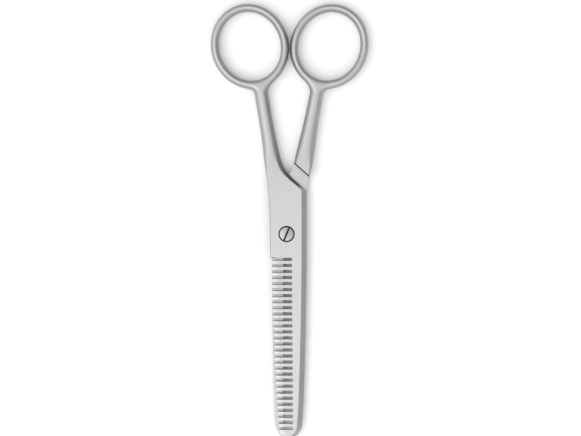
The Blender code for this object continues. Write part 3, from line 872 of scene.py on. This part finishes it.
def product(nodes, links, first, second):
    """Two shares multiplied."""
    times = nodes.new("ShaderNodeMath")
    times.operation = 'MULTIPLY'
    links.new(first, times.inputs[0])
    links.new(second, times.inputs[1])
    return times.outputs[0]


def shoulder_root_shade_share(nodes, links, place):
    """1 in the narrow root of the rear shoulder, where shade is painted into the colour, and 0 elsewhere."""
    across = Vector((math.sin(SHOULDER_SLANT), math.cos(SHOULDER_SLANT), 0.0))
    root = PIVOT.dot(across) + REAR_SHOULDER
    along = nodes.new("ShaderNodeVectorMath")
    along.operation = 'DOT_PRODUCT'
    along.inputs[1].default_value = across
    links.new(place, along.inputs[0])
    axes = nodes.new("ShaderNodeSeparateXYZ")
    links.new(place, axes.inputs["Vector"])
    reached = scaled(nodes, links, along.outputs["Value"], 0.0, 1.0, root - ROOT_SHADE, root - ROOT_SHADE / 2)
    passed = scaled(nodes, links, along.outputs["Value"], 1.0, 0.0, root + 0.1 * MM, root + 0.2 * MM)
    above = scaled(nodes, links, axes.outputs["Z"], 0.0, 1.0, HALF_DEPTH - 0.1 * MM, HALF_DEPTH - 0.05 * MM)
    below = scaled(nodes, links, axes.outputs["Z"], 1.0, 0.0, HALF_DEPTH + 1.3 * MM, HALF_DEPTH + 1.9 * MM)
    neck_start = PIVOT.x + NECK_CLEAR_OF_FRONT
    on_neck = scaled(nodes, links, axes.outputs["X"], 0.0, 1.0, neck_start, neck_start + 0.3 * MM)
    in_depth = product(nodes, links, above, below)
    across_line = product(nodes, links, reached, passed)
    return product(nodes, links, product(nodes, links, across_line, in_depth), on_neck)


def satin_shear_steel():
    """Blade steel: belt lines across the flat blades, a finer even satin on shanks and rings."""
    material, nodes, links, surface = new_finish("satin_shear_steel")
    place = nodes.new("ShaderNodeTexCoord").outputs["Object"]
    axes = nodes.new("ShaderNodeSeparateXYZ")
    links.new(place, axes.inputs["Vector"])
    handle_share = scaled(nodes, links, axes.outputs["Y"], 0.0, 1.0, 0.008, 0.024)
    belt = grain(nodes, links, place, (250, 3800, 600), 1.0)
    satin = grain(nodes, links, place, (2600, 1700, 2600), 1.0)
    lines = blended(nodes, links, handle_share, belt, satin)
    cloud = grain(nodes, links, place, (140, 70, 140), 1.0, 4.0)
    wear = nodes.new("ShaderNodeMath")
    wear.operation = 'MULTIPLY_ADD'
    wear.inputs[1].default_value = 0.6
    links.new(scaled(nodes, links, lines, 0.0, 1.0), wear.inputs[0])
    links.new(scaled(nodes, links, cloud, 0.0, 0.4), wear.inputs[2])
    # Painted shade: upright sides are darkened in the colour, strongly on the blades and their slot walls,
    # less on the handles.
    flats = side_shade_mask(nodes, links)
    colour = tinted(nodes, links, wear.outputs[0], *STEEL_TONES)
    blade_side_shade = scaled(nodes, links, flats, BLADE_SIDE_SHADE_SHARE, 1.0, 0.0, 1.0)
    handle_side_shade = scaled(nodes, links, flats, HANDLE_SIDE_SHADE_SHARE, 1.0, 0.0, 1.0)
    colour = dimmed(nodes, links, colour, blended(nodes, links, handle_share, blade_side_shade, handle_side_shade))
    # Painted shade: the screw's recess is darkened in the colour.
    colour = darkened(nodes, links, colour, outside_recess_shade(nodes, links, place), RECESS_SHADE_SHARE)
    # Painted shade: the narrow root of the rear shoulder is darkened in the colour.
    root_shade_share = shoulder_root_shade_share(nodes, links, place)
    root_shade_level = scaled(nodes, links, root_shade_share, 1.0, SHOULDER_ROOT_SHADE_SHARE, 0.0, 1.0)
    colour = dimmed(nodes, links, colour, root_shade_level)
    links.new(colour, surface.inputs["Base Color"])
    surface.inputs["Metallic"].default_value = 1.0
    smooth_part = scaled(nodes, links, lines, 0.34, 0.44)
    handle_part = scaled(nodes, links, lines, 0.44, 0.54)
    roughness = blended(nodes, links, handle_share, smooth_part, handle_part)
    links.new(roughness, surface.inputs["Roughness"])
    relief = nodes.new("ShaderNodeBump")
    relief.inputs["Strength"].default_value = 0.25
    relief.inputs["Distance"].default_value = 0.01 * MM
    links.new(lines, relief.inputs["Height"])
    links.new(relief.outputs["Normal"], surface.inputs["Normal"])
    return material


def turned_screw_steel():
    """Screw steel: fine rings left by the lathe, centred on the pivot."""
    material, nodes, links, surface = new_finish("turned_screw_steel")
    place = nodes.new("ShaderNodeTexCoord").outputs["Object"]
    centred = nodes.new("ShaderNodeMapping")
    centred.inputs["Location"].default_value = (-PIVOT.x, -PIVOT.y, 0.0)
    links.new(place, centred.inputs["Vector"])
    rings = nodes.new("ShaderNodeTexWave")
    rings.wave_type = 'RINGS'
    rings.rings_direction = 'Z'
    rings.inputs["Scale"].default_value = 2400.0
    rings.inputs["Distortion"].default_value = 0.6
    rings.inputs["Detail"].default_value = 2.0
    links.new(centred.outputs["Vector"], rings.inputs["Vector"])
    axes = nodes.new("ShaderNodeSeparateXYZ")
    links.new(place, axes.inputs["Vector"])
    # Painted shade: the screw's slot is darkened in the colour towards its floor.
    slot_floor = SCREW_HIGH.z - SCREW_SLOT_DEPTH
    dark_top, clear_bottom = slot_floor + 0.1 * MM, slot_floor + 0.35 * MM
    clear_of_slot_shade = scaled(nodes, links, axes.outputs["Z"], 0.0, 1.0, dark_top, clear_bottom)
    colour = tinted(nodes, links, rings.outputs["Fac"], *SCREW_TONES)
    colour = darkened(nodes, links, colour, clear_of_slot_shade, SCREW_SLOT_SHADE_SHARE)
    links.new(colour, surface.inputs["Base Color"])
    surface.inputs["Metallic"].default_value = 1.0
    links.new(scaled(nodes, links, rings.outputs["Fac"], 0.3, 0.4, 0.0, 1.0), surface.inputs["Roughness"])
    relief = nodes.new("ShaderNodeBump")
    relief.inputs["Strength"].default_value = 0.2
    relief.inputs["Distance"].default_value = 0.01 * MM
    links.new(rings.outputs["Fac"], relief.inputs["Height"])
    links.new(relief.outputs["Normal"], surface.inputs["Normal"])
    return material


def dark_washer_nylon():
    """Washer nylon: near black, with a faint moulded mottle."""
    material, nodes, links, surface = new_finish("dark_washer_nylon")
    place = nodes.new("ShaderNodeTexCoord").outputs["Object"]
    mottle = grain(nodes, links, place, (1800, 1800, 1800), 1.0, 4.0)
    tone = nodes.new("ShaderNodeValToRGB")
    tone.color_ramp.elements[0].color = (0.012, 0.012, 0.013, 1)
    tone.color_ramp.elements[1].color = (0.035, 0.035, 0.036, 1)
    links.new(mottle, tone.inputs["Fac"])
    links.new(tone.outputs["Color"], surface.inputs["Base Color"])
    links.new(scaled(nodes, links, mottle, 0.5, 0.68), surface.inputs["Roughness"])
    return material


# ---------------------------------------------------------------- table, light, camera

def pale_table():
    """Plain near-white table top under the shears."""
    bpy.ops.mesh.primitive_plane_add(size=4.0)
    table = named("pale_table")
    material, nodes, links, surface = new_finish("pale_table")
    surface.inputs["Base Color"].default_value = (0.97, 0.97, 0.97, 1)
    surface.inputs["Roughness"].default_value = 0.9
    surface.inputs["Specular IOR Level"].default_value = 0.1
    table.data.materials.append(material)


def soft_room():
    """Studio room: bright above and towards the tips' left, dimmer on the opposite side."""
    world = bpy.data.worlds.new("soft_room")
    bpy.context.scene.world = world
    world.use_nodes = True
    nodes, links = world.node_tree.nodes, world.node_tree.links
    direction = nodes.new("ShaderNodeTexCoord").outputs["Generated"]
    axes = nodes.new("ShaderNodeSeparateXYZ")
    links.new(direction, axes.inputs["Vector"])
    height = scaled(nodes, links, axes.outputs["Z"], 0.55, 1.46, 0.05, 0.6)
    towards = nodes.new("ShaderNodeVectorMath")
    towards.operation = 'DOT_PRODUCT'
    towards.inputs[1].default_value = BRIGHT_SIDE
    links.new(direction, towards.inputs[0])
    side = scaled(nodes, links, towards.outputs["Value"], 0.16, 1.0, -0.95, 0.15)
    strength = nodes.new("ShaderNodeMath")
    strength.operation = 'MULTIPLY'
    links.new(height, strength.inputs[0])
    links.new(side, strength.inputs[1])
    links.new(strength.outputs[0], nodes["Background"].inputs["Strength"])
    nodes["Background"].inputs["Color"].default_value = (1, 1, 1, 1)


def key_light():
    """Large soft light to the left, which throws the soft shadow to the right."""
    bpy.ops.object.light_add(type='SUN')
    key = bpy.context.object
    key.name = "key_light"
    key.rotation_euler = Vector((-0.45, -0.2, 1.0)).to_track_quat('Z', 'Y').to_euler()
    key.data.angle = math.radians(50)
    key.data.energy = 0.5


def overhead_camera():
    """Camera straight above the shears."""
    view_width = 219.7 * MM
    lens, sensor = 100.0, 36.0
    camera_data = bpy.data.cameras.new("overhead_camera")
    camera_data.lens = lens
    camera_data.sensor_width = sensor
    camera_data.clip_start = 0.01
    camera_data.clip_end = 20.0
    camera = bpy.data.objects.new("overhead_camera", camera_data)
    bpy.context.scene.collection.objects.link(camera)
    middle = Vector((0.337 * MM, 1.054 * MM))
    camera.location = (middle.x, middle.y, FULL_DEPTH + view_width * lens / sensor)
    bpy.context.scene.camera = camera


# ---------------------------------------------------------------- assembly

def place_on_pivot(piece, body, node, finish):
    """Move a finished piece to the pivot, give it its finish and tie it to the frame."""
    finish_shading(piece)
    piece.location = PIVOT
    fix_place()
    piece.data.materials.clear()
    piece.data.materials.append(finish)
    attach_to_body(piece, body)
    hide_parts(node)


overhead_camera()
pale_table()
soft_room()
key_light()
bpy.context.scene.view_settings.view_transform = 'Standard'

shear_steel = satin_shear_steel()
place_on_pivot(toothed_half(), "toothed", "toothed_half", shear_steel)
place_on_pivot(straight_half(), "straight", "straight_half", shear_steel)
place_on_pivot(pivot_screw(), "screw", "pivot_screw", turned_screw_steel())
place_on_pivot(tension_washer(), "screw", "tension_washer", dark_washer_nylon())
bpy.ops.object.select_all(action='DESELECT')
